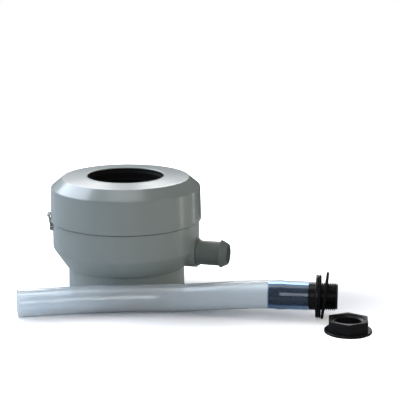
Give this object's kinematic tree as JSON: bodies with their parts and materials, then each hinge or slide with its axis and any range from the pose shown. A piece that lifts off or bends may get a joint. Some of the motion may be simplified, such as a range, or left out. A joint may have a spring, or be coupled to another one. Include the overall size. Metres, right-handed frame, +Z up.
{
  "type": "rainwater collector kit",
  "caption": "Downpipe rainwater collector: a two-shell drum with a side spout, clip and filter cage, beside a clear hose with a threaded tank connector and its nut.",
  "frame": {"origin": "middle of the footprint of everything but the hose, on the surface that the kit stands on", "axes": "+Z up along the drum's axis, +X from the drum towards the connector and the nut, -Y towards the hose in front of the drum"},
  "size_m": [0.3332, 0.2442, 0.1207],
  "materials": {
    "grey_shell": "moulded grey shell, semi-gloss",
    "dark_spout": "moulded dark grey, satin",
    "black_plastic": "moulded black, satin",
    "black_rubber": "black rubber, matt",
    "sieve_steel": "woven stainless sieve",
    "clear_vinyl": "clear soft vinyl, glossy"
  },
  "bodies": {
    "root": {"housing_shell": "grey_shell", "overflow_riser": "black_plastic", "riser_gasket": "black_rubber", "joint_ring": "black_rubber", "outlet_spout": "dark_spout", "outlet_ring": "black_rubber", "socket_ring": "black_rubber"},
    "filter": {"filter_frame": "black_plastic", "filter_screen": "sieve_steel"},
    "cap": {"cap_shell": "grey_shell", "inlet_sleeve": "black_rubber"},
    "clip": {"lock_clip": "grey_shell"},
    "hose_set": {"hose": "clear_vinyl", "connector_body": "black_plastic", "flange_gasket": "black_rubber"},
    "washer": {"sealing_washer": "black_rubber"},
    "nut": {"flange_nut": "black_plastic"}
  },
  "joints": [
    {"name": "filter_lift", "type": "slide", "parent": "root", "child": "filter", "axis": [0, 0, 1], "range_m": [0, 0.06]},
    {"name": "cap_lift", "type": "slide", "parent": "filter", "child": "cap", "axis": [0, 0, 1], "range_m": [0, 0.06]},
    {"name": "clip_swing", "type": "hinge", "parent": "root", "child": "clip", "pos_m": [-0.14895, 0.04598, 0.069], "axis": [0, -1, 0], "range_deg": [0, 70]},
    {"name": "hose_set_lift", "type": "slide", "parent": "root", "child": "hose_set", "axis": [0, -0.5, 0.866], "range_m": [0, 0.1]},
    {"name": "washer_slide", "type": "slide", "parent": "hose_set", "child": "washer", "axis": [0.9848, -0.1736, 0], "range_m": [0, 0.018]},
    {"name": "nut_lift", "type": "slide", "parent": "root", "child": "nut", "axis": [0, -0.5, 0.866], "range_m": [0, 0.1]}
  ]
}
